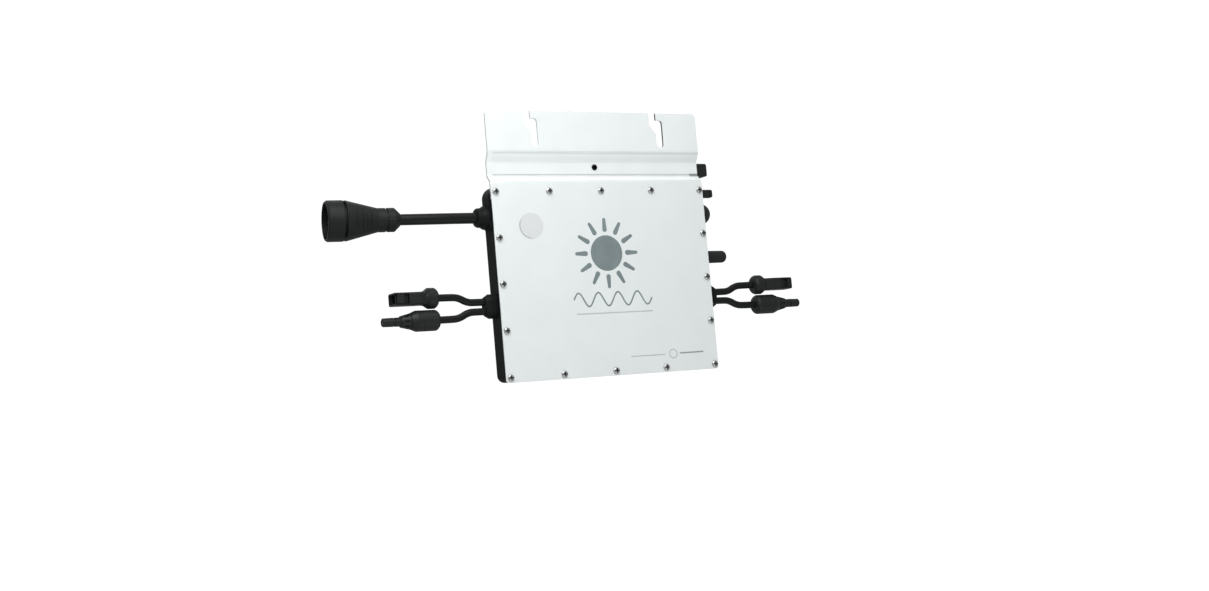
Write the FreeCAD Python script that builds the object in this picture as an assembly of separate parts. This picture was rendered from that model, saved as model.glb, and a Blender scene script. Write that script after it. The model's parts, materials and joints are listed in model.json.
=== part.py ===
import FreeCAD, Part
import math
import os

# Dual-input micro-inverter that hangs from a mounting rail by its flange.  Millimetres.
#
# The model is laid out from the middle of the screw pattern on the cover's front face:
# X runs right, Y runs back into the case ("depth") and Z runs up ("height").
# Each part is moved as it is saved, so that the origin ends up on the flange's rail face.

V = FreeCAD.Vector

# ---- driving dimensions ----
COVER_WIDTH = 249.2
COVER_TOP = 102.8
COVER_BOTTOM = -98.3
COVER_THICK = 1.5
COVER_CORNER = 3.0
SCREW_X = 120.0               # half width of the cover screw pattern
SCREW_Z = 93.4                # half height of the cover screw pattern
SCREW_PITCHES = 4             # screw intervals along each side
SCREW_R = 1.5
SCREW_HEAD_R = 3.6
SCREW_HEAD_HIGH = 2.3
SCREW_LENGTH = 11.0

CASE_HALF = 124.0
CASE_TOP = 96.8
CASE_BOTTOM = -97.3
CASE_BACK = 28.0
CASE_FLOOR = 25.0             # depth of the inside of the back wall
CASE_CORNER = 7.5
CASE_BACK_EDGE = 6.5
CAVITY_HALF = 111.0
CAVITY_TOP = 79.5
CAVITY_BOTTOM = -84.5
FIN_DEPTH = 3.0
FIN_COUNT = 15
FIN_PITCH = 14.0

FLANGE_HALF = 124.3
FLANGE_THICK = 2.5
FLANGE_TOP = 176.3
FLANGE_DEPTH = 1.5            # depth of the front face of the flange's upper plate
CHANNEL_DEPTH = 7.0           # depth of the front face of the pressed channel's floor
TONGUE_BOTTOM = 86.3
SLOT_PITCH = 148.4
SLOT_SHIFT = 3.65             # entry and seat are this far each side of the slot's middle
SLOT_HALF = 4.2
GROUND_HOLE = (-1.3, 119.1)
GROUND_HOLE_R = 2.75
GROUND_BORE_R = 2.1           # core of the insert's M5 thread

AXIS_DEPTH = 14.0             # depth of every gland, DC lead and DC plug
AC_GLAND_HEIGHT = 68.8
AC_GLAND_FACE = 138.4         # distance from the middle to the AC gland's outer face
AC_CABLE_D = 11.2
AC_TURN = 8.7                 # degrees by which the AC plug points back from the X direction
AC_RISE = 1.0                 # degrees by which it points up
LEAD_D = 7.4
GLAND_HEIGHT = -20.5          # height of the middle of each DC gland
LEAD_OUT = 4.7                # each lead leaves its gland this far above or below the middle
UPPER_PLUG_HEIGHT = -9.8
LOWER_PLUG_HEIGHT = -31.5
GLAND_FACE = 136.3            # distance from the middle to a DC gland's outer face
PLUG_REAR = 186.2             # distance from the middle to the rear of each DC plug
PLUG_TIP = 233.4              # distance from the middle to the open end of each upper plug
LATCH_REAR = 218.6            # where each latch pocket starts, next to the root of its arm
LATCH_GAP = 0.35
TRUNK_HEIGHT = 68.9           # height of the blanked AC port on the right wall
SERVICE_DEPTH = 15.0
SERVICE_HEIGHT = 91.4

BOARD_DEPTH = 8.0
BOARD_THICK = 1.6
BOARD_HALF = 106.0
BOARD_TOP = 75.0
BOARD_BOTTOM = -80.0

# The rail face of the flange, midway up its upper plate, is the part's origin.
RAIL_FACE_DEPTH = FLANGE_DEPTH + FLANGE_THICK
RAIL_FACE_HEIGHT = 155.0
TO_ORIGIN = V(0, -RAIL_FACE_DEPTH, -RAIL_FACE_HEIGHT)

# ---- routes of the free DC leads, on the side where X is positive: (distance out, height) ----
UPPER_LEAD_ROUTE = [(GLAND_FACE, -15.8), (144.5, -15.8), (154.4, -15.6), (164.2, -10.1), (175.3, -9.8),
                    (PLUG_REAR, -9.8)]
LOWER_LEAD_ROUTE = [(GLAND_FACE, -25.2), (144.5, -25.2), (154.2, -25.5), (164.2, -31.1), (175.3, -31.5),
                    (PLUG_REAR, -31.5)]

# ---- the AC cable, on the left, ends where its plug starts ----
AC_PLUG_START = V(-216.0, 20.3, 69.3)
AC_AXIS = V(-math.cos(math.radians(AC_TURN)) * math.cos(math.radians(AC_RISE)),
            math.sin(math.radians(AC_TURN)) * math.cos(math.radians(AC_RISE)),
            math.sin(math.radians(AC_RISE)))
AC_CABLE_ROUTE = [V(-AC_GLAND_FACE, AXIS_DEPTH, AC_GLAND_HEIGHT), V(-164.5, AXIS_DEPTH, AC_GLAND_HEIGHT),
                  AC_PLUG_START - AC_AXIS * 25.5, AC_PLUG_START]


# ---- helpers ----
def save(name, shape):
    shape = shape.copy()
    shape.translate(TO_ORIGIN)
    shape.exportStep("parts/" + name + ".step")


def block(x, y, z):
    """Box from three (low, high) pairs."""
    return Part.makeBox(x[1] - x[0], y[1] - y[0], z[1] - z[0], V(x[0], y[0], z[0]))


def rounded_block(x, y, z, radius, direction):
    """Box whose four edges along one direction are rounded."""
    shape = block(x, y, z)
    return round_edges(shape, radius, lambda edge: runs_along(edge, direction))


def runs_along(edge, direction):
    if not isinstance(edge.Curve, Part.Line):
        return False
    return abs(edge.tangentAt(edge.FirstParameter).dot(direction)) > 0.999


def round_edges(shape, radius, wanted):
    edges = [edge for edge in shape.Edges if wanted(edge)]
    return shape.makeFillet(radius, edges)


def rod(start, direction, radius, length):
    return Part.makeCylinder(radius, length, start, direction)


def closed_face(points, place):
    """Face inside a closed outline.  A point given as a pair of points is an arc
    through the first to the second."""
    edges = []
    here = place(points[0])
    first = here
    for point in points[1:]:
        if isinstance(point[0], tuple):
            middle = place(point[0])
            end = place(point[1])
            edges.append(Part.Arc(here, middle, end).toShape())
        else:
            end = place(point)
            edges.append(Part.LineSegment(here, end).toShape())
        here = end
    if here.distanceToPoint(first) > 1e-6:
        edges.append(Part.LineSegment(here, first).toShape())
    return Part.Face(Part.Wire(edges))


def turned(points, height, depth=AXIS_DEPTH, angle=360.0):
    """Solid of revolution about an axis along X; points are (x, radius)."""
    centre = V(0, depth, height)
    face = closed_face(points, lambda p: V(p[0], depth, height + p[1]))
    return face.revolve(centre, V(1, 0, 0), angle)


def to_side(shape, side):
    """Copy for one side: parts are drawn at positive X and mirrored for the left."""
    if side > 0:
        return shape.copy()
    return shape.mirror(V(0, 0, 0), V(1, 0, 0))


def to_ac_plug(shape):
    """Places a piece of the AC plug, drawn along X from the plug's start, at the end of its cable."""
    shape = shape.copy()
    shape.rotate(V(0, 0, 0), V(0, 1, 0), -AC_RISE)
    shape.rotate(V(0, 0, 0), V(0, 0, 1), 180.0 - AC_TURN)
    shape.translate(AC_PLUG_START)
    return shape


def group(shapes):
    return Part.makeCompound(shapes)


def screw_places():
    """Middle of each cover screw, once round the pattern."""
    places = []
    for step in range(SCREW_PITCHES + 1):
        x = SCREW_X * (2.0 * step / SCREW_PITCHES - 1.0)
        places.append((x, SCREW_Z))
        places.append((x, -SCREW_Z))
    for step in range(1, SCREW_PITCHES):
        z = SCREW_Z * (2.0 * step / SCREW_PITCHES - 1.0)
        places.append((-SCREW_X, z))
        places.append((SCREW_X, z))
    return places


def stadium_wire(x, half_wide, half_tall):
    """Upright oblong outline at one X, round the DC gland's middle."""
    straight = half_tall - half_wide
    top = GLAND_HEIGHT + straight
    low = GLAND_HEIGHT - straight
    near = AXIS_DEPTH - half_wide
    far = AXIS_DEPTH + half_wide
    edges = [
        Part.LineSegment(V(x, near, low), V(x, near, top)).toShape(),
        Part.Arc(V(x, near, top), V(x, AXIS_DEPTH, top + half_wide), V(x, far, top)).toShape(),
        Part.LineSegment(V(x, far, top), V(x, far, low)).toShape(),
        Part.Arc(V(x, far, low), V(x, AXIS_DEPTH, low - half_wide), V(x, near, low)).toShape(),
    ]
    return Part.Wire(edges)


def stadium_rod(x_range, half_wide, half_tall):
    face = Part.Face(stadium_wire(x_range[0], half_wide, half_tall))
    return face.extrude(V(x_range[1] - x_range[0], 0, 0))


def lead_points(route):
    return [V(x, AXIS_DEPTH, z) for x, z in route]


def cord_tube(name, points, diameter):
    """Round tube along straight runs joined by tangent arcs."""
    edges = []
    radii = []
    here = points[0]
    for before, corner, after in zip(points, points[1:], points[2:]):
        arriving = corner - before
        leaving = after - corner
        shorter = min(arriving.Length, leaving.Length)
        arriving.normalize()
        leaving.normalize()
        half_turn = arriving.getAngle(leaving) / 2.0
        setback = 0.45 * shorter
        radius = setback / math.tan(half_turn)
        arc_start = corner - arriving * setback
        arc_end = corner + leaving * setback
        bisector = (leaving - arriving).normalize()
        arc_middle = corner + bisector * (radius / math.cos(half_turn) - radius)
        edges.append(Part.LineSegment(here, arc_start).toShape())
        edges.append(Part.Arc(arc_start, arc_middle, arc_end).toShape())
        radii.append(radius)
        here = arc_end
    edges.append(Part.LineSegment(here, points[-1]).toShape())
    path = Part.Wire(edges)
    start_direction = points[1] - points[0]
    section = Part.Wire(Part.makeCircle(diameter / 2.0, points[0], start_direction))
    tube = path.makePipeShell([section], True, False, 2)
    expected = math.pi * diameter ** 2 / 4.0 * path.Length
    print(name, "length %.1f" % path.Length, "radii", ["%.1f" % r for r in radii],
          "volume ratio %.4f" % (tube.Volume / expected))
    return tube


# ---- case, cover and flange ----
def case_body():
    shape = rounded_block((-CASE_HALF, CASE_HALF), (COVER_THICK, CASE_BACK), (CASE_BOTTOM, CASE_TOP),
                          CASE_CORNER, V(0, 1, 0))
    shape = round_edges(shape, CASE_BACK_EDGE,
                        lambda edge: edge.BoundBox.YMin > CASE_BACK - 0.01)
    shape = shape.fuse(ac_pad())
    for number in range(FIN_COUNT):
        x = FIN_PITCH * (number - (FIN_COUNT - 1) / 2.0)
        fin = rounded_block((x - 1.6, x + 1.6), (CASE_BACK - 1.0, CASE_BACK + FIN_DEPTH),
                            (CASE_BOTTOM + 14.0, CASE_TOP - 14.0), 1.2, V(0, 1, 0))
        shape = shape.fuse(fin)
    cavity = rounded_block((-CAVITY_HALF, CAVITY_HALF), (0.0, CASE_FLOOR), (CAVITY_BOTTOM, CAVITY_TOP),
                           5.0, V(0, 1, 0))
    shape = shape.cut(cavity)
    tongue_step = block((-130, 130), (0.0, RAIL_FACE_DEPTH), (TONGUE_BOTTOM - 0.2, 110))
    shape = shape.cut(tongue_step)
    shape = shape.cut(gasket_ring())
    for x, z in screw_places():
        shape = shape.cut(rod(V(x, 0, z), V(0, 1, 0), SCREW_R + 0.05, SCREW_LENGTH + 3.0))
    for x, z in board_screw_places():
        post = rod(V(x, BOARD_DEPTH + BOARD_THICK, z), V(0, 1, 0), 4.0, CASE_FLOOR - BOARD_DEPTH)
        shape = shape.fuse(post.cut(rod(V(x, 0, z), V(0, 1, 0), 1.3, 20.0)))
    for opening in wall_openings():
        shape = shape.cut(opening)
    return shape.removeSplitter()


def ac_pad():
    """Raised pad round the AC gland, which also carries the cover's top left corner."""
    pad = block((-127.0, -105.0), (4.0, 20.0), (56.5, 99.7))
    pad = round_edges(pad, 12.4, lambda edge: runs_along(edge, V(0, 1, 0)) and edge.BoundBox.XMax < -126.9
                      and edge.BoundBox.ZMin > 99.6)
    return round_edges(pad, 1.5, lambda edge: edge.BoundBox.YMin > 19.9 and edge.BoundBox.XMin < -105.1)


def wall_openings():
    """Holes through the side walls, for the glands and for the right-hand fittings."""
    left = rod(V(-130, AXIS_DEPTH, AC_GLAND_HEIGHT), V(1, 0, 0), 8.0, 25)
    gland = stadium_rod((105, 130), 6.0, 10.9)
    trunk = rod(V(105, AXIS_DEPTH, TRUNK_HEIGHT), V(1, 0, 0), 6.5, 25)
    service = rod(V(116, SERVICE_DEPTH, SERVICE_HEIGHT), V(1, 0, 0), 2.5, 14)
    antenna = rod(V(105, AXIS_DEPTH, 22.4), V(1, 0, 0), 4.0, 25)
    return [left, gland, to_side(gland, -1), trunk, service, antenna]


def gasket_ring():
    depth = (COVER_THICK, 3.3)
    outer = rounded_block((-116.0, 116.0), depth, (-89.3, 84.0), 7.0, V(0, 1, 0))
    inner = rounded_block((-113.0, 113.0), depth, (-86.3, 81.0), 5.0, V(0, 1, 0))
    return outer.cut(inner)


def cover_plate():
    half = COVER_WIDTH / 2.0
    shape = rounded_block((-half, half), (0.0, COVER_THICK), (COVER_BOTTOM, COVER_TOP),
                          COVER_CORNER, V(0, 1, 0))
    shape = round_edges(shape, 0.4, lambda edge: edge.BoundBox.YMax < 0.01)
    for x, z in screw_places():
        shape = shape.cut(rod(V(x, -1, z), V(0, 1, 0), SCREW_R + 0.2, 4))
    return shape


def pan_screw(x, depth, z, shank_r, shank_length, head_r, head_high):
    """Cross-recess pan-head screw, head towards the front, seated at a depth."""
    points = [(0.0, depth - head_high),
              (head_r * 0.45, depth - head_high),
              ((head_r * 0.84, depth - head_high * 0.78), (head_r, depth - head_high * 0.3)),
              (head_r, depth),
              (shank_r, depth),
              (shank_r, depth + shank_length - 0.6),
              (shank_r - 0.6, depth + shank_length),
              (0.0, depth + shank_length)]
    face = closed_face(points, lambda p: V(x + p[0], p[1], z))
    screw = face.revolve(V(x, 0, z), V(0, 1, 0), 360)
    reach = head_r * 0.58
    for width, height in ((reach, 0.45), (0.45, reach)):
        arm = block((x - width, x + width), (depth - head_high - 1, depth - head_high + 1.2),
                    (z - height, z + height))
        screw = screw.cut(arm)
    return screw


def cover_screws():
    return group([pan_screw(x, 0.0, z, SCREW_R, SCREW_LENGTH, SCREW_HEAD_R, SCREW_HEAD_HIGH)
                  for x, z in screw_places()])


def mitred(points, thick):
    """The back line of a folded sheet whose front line is given as (depth, height), top first."""
    normals = []
    for a, b in zip(points, points[1:]):
        run = math.hypot(b[0] - a[0], b[1] - a[1])
        normals.append(((a[1] - b[1]) / run, (b[0] - a[0]) / run))
    back = [(points[0][0] + normals[0][0] * thick, points[0][1] + normals[0][1] * thick)]
    for point, one, two in zip(points[1:-1], normals, normals[1:]):
        scale = thick / (1.0 + one[0] * two[0] + one[1] * two[1])
        back.append((point[0] + (one[0] + two[0]) * scale, point[1] + (one[1] + two[1]) * scale))
    back.append((points[-1][0] + normals[-1][0] * thick, points[-1][1] + normals[-1][1] * thick))
    return back


def hook_slot(middle):
    """S-shaped slot: a bolt enters at the top edge, shifts right and seats under the shoulder."""
    entry = middle - SLOT_SHIFT
    seat = middle + SLOT_SHIFT
    points = [(entry - SLOT_HALF, FLANGE_TOP + 3.0),
              (entry - SLOT_HALF, 163.6),
              (seat - SLOT_HALF, 154.0),
              (seat - SLOT_HALF, 143.4),
              ((seat, 143.4 - SLOT_HALF), (seat + SLOT_HALF, 143.4)),
              (seat + SLOT_HALF, 164.6),
              ((seat + SLOT_HALF * 0.72, 167.7), (seat + 0.6, 168.9)),
              (entry + SLOT_HALF, 168.9),
              (entry + SLOT_HALF, FLANGE_TOP + 3.0)]
    face = closed_face(points, lambda p: V(p[0], -5.0, p[1]))
    return face.extrude(V(0, 20, 0))


def mounting_flange():
    front = [(FLANGE_DEPTH, FLANGE_TOP), (FLANGE_DEPTH, 133.6), (CHANNEL_DEPTH, 124.6),
             (CHANNEL_DEPTH, 110.6), (FLANGE_DEPTH, 104.2), (FLANGE_DEPTH, TONGUE_BOTTOM)]
    back = mitred(front, FLANGE_THICK)
    outline = front + list(reversed(back))
    face = closed_face(outline, lambda p: V(-FLANGE_HALF, p[0], p[1]))
    shape = face.extrude(V(2 * FLANGE_HALF, 0, 0))
    bends = front[1:-1] + back[1:-1]

    def at_bend(edge):
        if not runs_along(edge, V(1, 0, 0)):
            return False
        middle = edge.CenterOfMass
        return any(math.hypot(middle.y - y, middle.z - z) < 0.01 for y, z in bends)

    shape = round_edges(shape, 1.2, at_bend)
    shape = round_edges(shape, 4.5, lambda edge: runs_along(edge, V(0, 1, 0))
                        and edge.BoundBox.ZMin > FLANGE_TOP - 0.01)
    for side in (-1, 1):
        shape = shape.cut(hook_slot(side * SLOT_PITCH / 2.0))
    hole = rod(V(GROUND_HOLE[0], 0, GROUND_HOLE[1]), V(0, 1, 0), GROUND_HOLE_R, 15)
    shape = shape.cut(hole)
    for left, low, depth in ((-119.3, 111.2, CHANNEL_DEPTH), (-FLANGE_HALF - 1, 134.1, FLANGE_DEPTH)):
        groove = block((left, FLANGE_HALF + 1), (depth - 1.0, depth + 0.35), (low, low + 0.8))
        shape = shape.cut(groove)
    for x, z in screw_places():
        if z == SCREW_Z:
            shape = shape.cut(rod(V(x, -1, z), V(0, 1, 0), SCREW_R + 0.2, 8))
    return shape


def ground_insert():
    """Blind rivet nut for the earthing screw, pressed into the flange's hole from the front."""
    x, z = GROUND_HOLE
    forward = V(0, 1, 0)
    collar = rod(V(x, CHANNEL_DEPTH - 0.6, z), forward, 3.1, 0.6)
    barrel = rod(V(x, CHANNEL_DEPTH, z), forward, GROUND_HOLE_R, 9.5)
    bore = rod(V(x, CHANNEL_DEPTH - 1.0, z), forward, GROUND_BORE_R, 9.0)
    return collar.fuse(barrel).cut(bore).removeSplitter()


def round_label():
    return rod(V(-83.5, -0.25, 58.3), V(0, 1, 0), 13.2, 0.25)


# ---- electronics ----
def board_screw_places():
    return [(x, z) for x in (-102.0, 6.0, 102.0) for z in (-72.0, 44.0)]


def circuit_board():
    shape = rounded_block((-BOARD_HALF, BOARD_HALF), (BOARD_DEPTH, BOARD_DEPTH + BOARD_THICK),
                          (BOARD_BOTTOM, BOARD_TOP), 3.0, V(0, 1, 0))
    for x, z in board_screw_places():
        shape = shape.cut(rod(V(x, 0, z), V(0, 1, 0), 1.7, 15))
    return shape


def board_screws():
    return group([pan_screw(x, BOARD_DEPTH, z, 1.25, 9.0, 2.8, 1.9) for x, z in board_screw_places()])


PARTS_DEPTH = BOARD_DEPTH + BOARD_THICK


def transformer(x, z):
    """Ferrite core with two windows, and the wound coil on its middle leg."""
    depth = (PARTS_DEPTH + 0.5, PARTS_DEPTH + 13.5)
    core = block((x - 21.0, x + 21.0), depth, (z - 15.0, z + 15.0))
    for side in (-1, 1):
        middle = x + side * 10.5
        core = core.cut(block((middle - 4.5, middle + 4.5), (0, 40), (z - 9.0, z + 9.0)))
    outer = rounded_block((x - 14.5, x + 14.5), depth, (z - 8.6, z + 8.6), 1.5, V(0, 1, 0))
    leg = block((x - 6.0, x + 6.0), (0, 40), (z - 20.0, z + 20.0))
    coil = outer.cut(leg)
    return core, coil


def lying_cans(places, radius, length):
    cans = []
    for x, z in places:
        can = rod(V(x, PARTS_DEPTH + radius, z), V(1, 0, 0), radius, length)
        can = round_edges(can, 0.8, lambda edge: edge.BoundBox.XLength < 0.01)
        cans.append(can)
    return group(cans)


def input_capacitors():
    places = [(x, z) for x in (-98.0, 72.0) for z in (-64.0, -49.5, -35.0)]
    return lying_cans(places, 6.5, 26.0)


def film_capacitors():
    boxes = []
    for x in (30.0, 48.0):
        box = rounded_block((x, x + 12.0), (PARTS_DEPTH, PARTS_DEPTH + 13.0), (-66.0, -36.0), 1.0,
                            V(0, 1, 0))
        boxes.append(box)
    return group(boxes)


def filter_choke():
    centre = V(-22.0, PARTS_DEPTH + 1.6, 31.0)
    core = rod(centre, V(0, 1, 0), 13.0, 9.0).cut(rod(centre, V(0, 1, 0), 7.5, 9.0))
    turns = []
    for start in (15.0, 195.0):
        outer = closed_face([(6.0, -1.4), (14.5, -1.4), (14.5, 10.4), (6.0, 10.4)],
                            lambda p: centre + V(p[0], p[1], 0))
        sector = outer.revolve(centre, V(0, 1, 0), 150.0)
        sector.rotate(centre, V(0, 1, 0), start)
        turns.append(sector.cut(core))
    return core, group(turns)


def grid_relays():
    return group([rounded_block((x, x + 20.0), (PARTS_DEPTH, PARTS_DEPTH + 12.0), (24.0, 40.0), 1.0,
                                V(0, 1, 0)) for x in (-96.0, -72.0)])


def heat_spreader():
    return rounded_block((-60.0, 95.0), (21.6, CASE_FLOOR), (50.0, 71.0), 1.0, V(0, 1, 0))


def thermal_pad():
    return block((-58.0, 93.0), (21.0, 21.6), (51.0, 70.0))


def power_transistors():
    """Flat packages against the thermal pad, each with three legs to the board."""
    packages = []
    for number in range(8):
        x = -50.0 + number * 18.0
        if number == 3:
            x -= 2.0
        package = block((x - 5.0, x + 5.0), (16.6, 21.0), (52.0, 68.0))
        for leg in (-2.5, 0.0, 2.5):
            down = block((x + leg - 0.4, x + leg + 0.4), (PARTS_DEPTH, 18.6), (48.4, 49.2))
            along = block((x + leg - 0.4, x + leg + 0.4), (17.8, 18.6), (48.4, 52.0))
            package = package.fuse(down).fuse(along)
        packages.append(package)
    return group(packages)


def control_module():
    """Upright daughter board with its processor and radio can."""
    board = block((46.0, 92.0), (PARTS_DEPTH, 23.5), (20.0, 21.2))
    processor = block((52.0, 62.0), (12.0, 21.5), (21.2, 22.4))
    radio = rounded_block((68.0, 86.0), (11.5, 22.0), (21.2, 24.0), 0.8, V(0, 0, 1))
    return board.fuse(processor).fuse(radio)


def line_fuse():
    body = rod(V(-68.0, PARTS_DEPTH + 4.0, 12.0), V(1, 0, 0), 2.6, 20.0)
    caps = [block((x, x + 2.0), (PARTS_DEPTH, PARTS_DEPTH + 7.5), (8.0, 16.0)) for x in (-69.0, -49.0)]
    shape = body
    for cap in caps:
        shape = shape.fuse(cap)
    return shape


def terminal_blocks():
    """Board terminals beside the AC gland and beside each DC gland."""
    blocks = [rounded_block((-98.0, -88.0), (PARTS_DEPTH, PARTS_DEPTH + 9.0), (50.0, 74.0), 0.8,
                            V(0, 1, 0))]
    for side in (-1, 1):
        middle = side * 99.0
        blocks.append(rounded_block((middle - 5.0, middle + 5.0), (PARTS_DEPTH, PARTS_DEPTH + 9.0),
                                    (GLAND_HEIGHT - 8.0, GLAND_HEIGHT + 8.0), 0.8, V(0, 1, 0)))
    return group(blocks)


def inner_wires():
    """Insulated conductors from each gland to its terminal block."""
    wires = []
    for offset in (-3.2, 0.0, 3.2):
        wires.append(rod(V(-111.0, AXIS_DEPTH, AC_GLAND_HEIGHT + offset), V(1, 0, 0), 1.4, 13.0))
    for side in (-1, 1):
        for offset in (-LEAD_OUT, LEAD_OUT):
            start = V(side * 111.0, AXIS_DEPTH, GLAND_HEIGHT + offset)
            wires.append(rod(start, V(-side, 0, 0), 1.8, 7.0))
    return group(wires)


# ---- AC cable, gland and plug, on the left ----
def ac_gland():
    """Flared boss with a threaded neck that passes through the case wall."""
    points = [(111.0, 0.0), (111.0, 7.9), (127.0, 7.9), (127.0, 11.9), (129.8, 11.9),
              ((131.6, 10.7), (134.6, 9.8)), ((137.4, 9.1), (AC_GLAND_FACE, 6.8)), (AC_GLAND_FACE, 0.0)]
    shape = turned(points, AC_GLAND_HEIGHT)
    return to_side(shape.cut(ac_gland_bore()), -1)


def ac_gland_bore():
    return rod(V(111.0, AXIS_DEPTH, AC_GLAND_HEIGHT), V(1, 0, 0), AC_CABLE_D / 2.0, AC_GLAND_FACE - 111.0)


def ac_gland_seal():
    return to_side(ac_gland_bore(), -1)


def ac_turned(points, angle=360.0):
    """Solid of revolution of the AC plug; points are (distance from the plug's start, radius)."""
    return turned(points, 0.0, 0.0, angle)


def ac_plug_body():
    """Sleeve, cone and rear neck in one moulding, with grip ribs on the cone."""
    points = [(13.0, 0.0), (13.0, 10.7), (15.2, 10.7), (15.2, 11.9), (22.6, 11.9), (54.0, 20.0),
              (54.6, 19.6), (54.6, 16.4), (66.0, 16.4), (66.0, 14.0), (53.4, 14.0), (53.4, 0.0)]
    shape = ac_turned(points)
    slope = (20.0 - 11.9) / (54.0 - 22.6)
    for x in (30.0, 34.4, 38.8, 44.8):
        radius = 11.9 + slope * (x - 22.6)
        rib = [(x - 0.8, radius - 0.7), (x - 0.5, radius + 0.6), (x + 0.5, radius + 0.9),
               (x + 0.8, radius - 0.3)]
        for start in (60.0, 240.0):
            piece = ac_turned(rib, 60.0)
            piece.rotate(V(0, 0, 0), V(1, 0, 0), start)
            shape = shape.fuse(piece)
    for start in (-24.0, 156.0):
        bridge = ac_turned([(54.4, 16.0), (54.4, 19.7), (56.7, 19.7), (56.7, 16.0)], 48.0)
        bridge.rotate(V(0, 0, 0), V(1, 0, 0), start)
        shape = shape.fuse(bridge)
    return to_ac_plug(shape)


def ac_plug_nut():
    """Rear nut with flutes, chamfered down to the cable."""
    points = [(0.0, 0.0), (0.0, 5.9), (0.7, 6.8), (5.4, 11.3), (6.4, 11.9), (13.0, 11.9), (13.0, 0.0)]
    shape = ac_turned(points)
    for number in range(10):
        angle = 2 * math.pi * number / 10
        centre = V(3.0, 13.1 * math.cos(angle), 13.1 * math.sin(angle))
        shape = shape.cut(rod(centre, V(1, 0, 0), 1.5, 11))
    return to_ac_plug(shape)


def ac_contact_places():
    return [(6.5 * math.cos(angle), 6.5 * math.sin(angle))
            for angle in (math.radians(90), math.radians(210), math.radians(330))]


def ac_plug_insert():
    """Contact carrier with three cavities and a keyed rim."""
    shape = ac_turned([(53.4, 0.0), (53.4, 13.0), (64.0, 13.0), (64.6, 12.4), (64.6, 0.0)])
    for y, z in ac_contact_places():
        shape = shape.cut(rod(V(54.6, y, z), V(1, 0, 0), 2.6, 20))
    key = block((59.0, 70.0), (-1.5, 1.5), (-14.0, -10.5))
    return to_ac_plug(shape.cut(key))


def ac_plug_contacts():
    contacts = []
    for y, z in ac_contact_places():
        tube = rod(V(54.6, y, z), V(1, 0, 0), 2.55, 9.0)
        contacts.append(tube.cut(rod(V(57.0, y, z), V(1, 0, 0), 1.8, 12)))
    return to_ac_plug(group(contacts))


def ac_plug_seal():
    return to_ac_plug(Part.makeTorus(13.5, 0.5, V(58.0, 0, 0), V(1, 0, 0)))


def ac_plug_locking_ring():
    """Bayonet ring that turns on the plug's sleeve, with bayonet grooves inside its open end."""
    points = [(57.0, 16.5), (57.0, 19.7), (57.5, 20.2), (71.8, 20.2), (73.6, 19.0), (73.6, 17.3),
              (66.8, 17.3), (66.8, 16.5)]
    shape = ac_turned(points)
    for number in range(3):
        notch = block((67.6, 74.0), (-2.8, 2.8), (14.0, 18.3))
        notch.rotate(V(0, 0, 0), V(1, 0, 0), 120.0 * number + 35.0)
        shape = shape.cut(notch)
    pointer = block((66.2, 68.0), (20.0, 21.0), (-12.5, -7.5))
    pointer.rotate(V(0, 0, 0), V(1, 0, 0), -26.0)
    return to_ac_plug(shape.cut(pointer))


# ---- DC glands, leads and plugs, on both sides ----
def dc_gland(side):
    """Oblong boss with a wide foot that two leads leave, with a neck through the case wall."""
    neck = stadium_rod((111.0, CASE_HALF), 5.9, 10.8)
    foot = stadium_rod((CASE_HALF, 131.8), 7.2, 12.3)
    boss = Part.makeLoft([stadium_wire(131.8, 7.2, 12.3), stadium_wire(GLAND_FACE, 5.2, 9.5)], True)
    return to_side(neck.fuse(foot).fuse(boss), side)


def clamp_nut(height, start, full, front, radius, lip):
    """Rounded rear nut of a DC plug, with shallow flutes.  lip is the radius of its front edge."""
    points = [(start, 0.0), (start, 5.4), ((start + 1.2, radius - 1.9), (start + 4.0, radius)),
              (full, radius), (front, lip), (front, 0.0)]
    shape = turned(points, height)
    for number in range(12):
        angle = 2 * math.pi * (number + 0.5) / 12
        centre_r = radius + 1.3
        flute = rod(V(start + 2.5, AXIS_DEPTH + centre_r * math.cos(angle),
                      height + centre_r * math.sin(angle)), V(1, 0, 0), 1.6, front)
        shape = shape.cut(flute)
    return shape


def upper_plug_nut(side):
    return to_side(clamp_nut(UPPER_PLUG_HEIGHT, PLUG_REAR, 196.4, 197.4, 10.4, 9.4), side)


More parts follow.
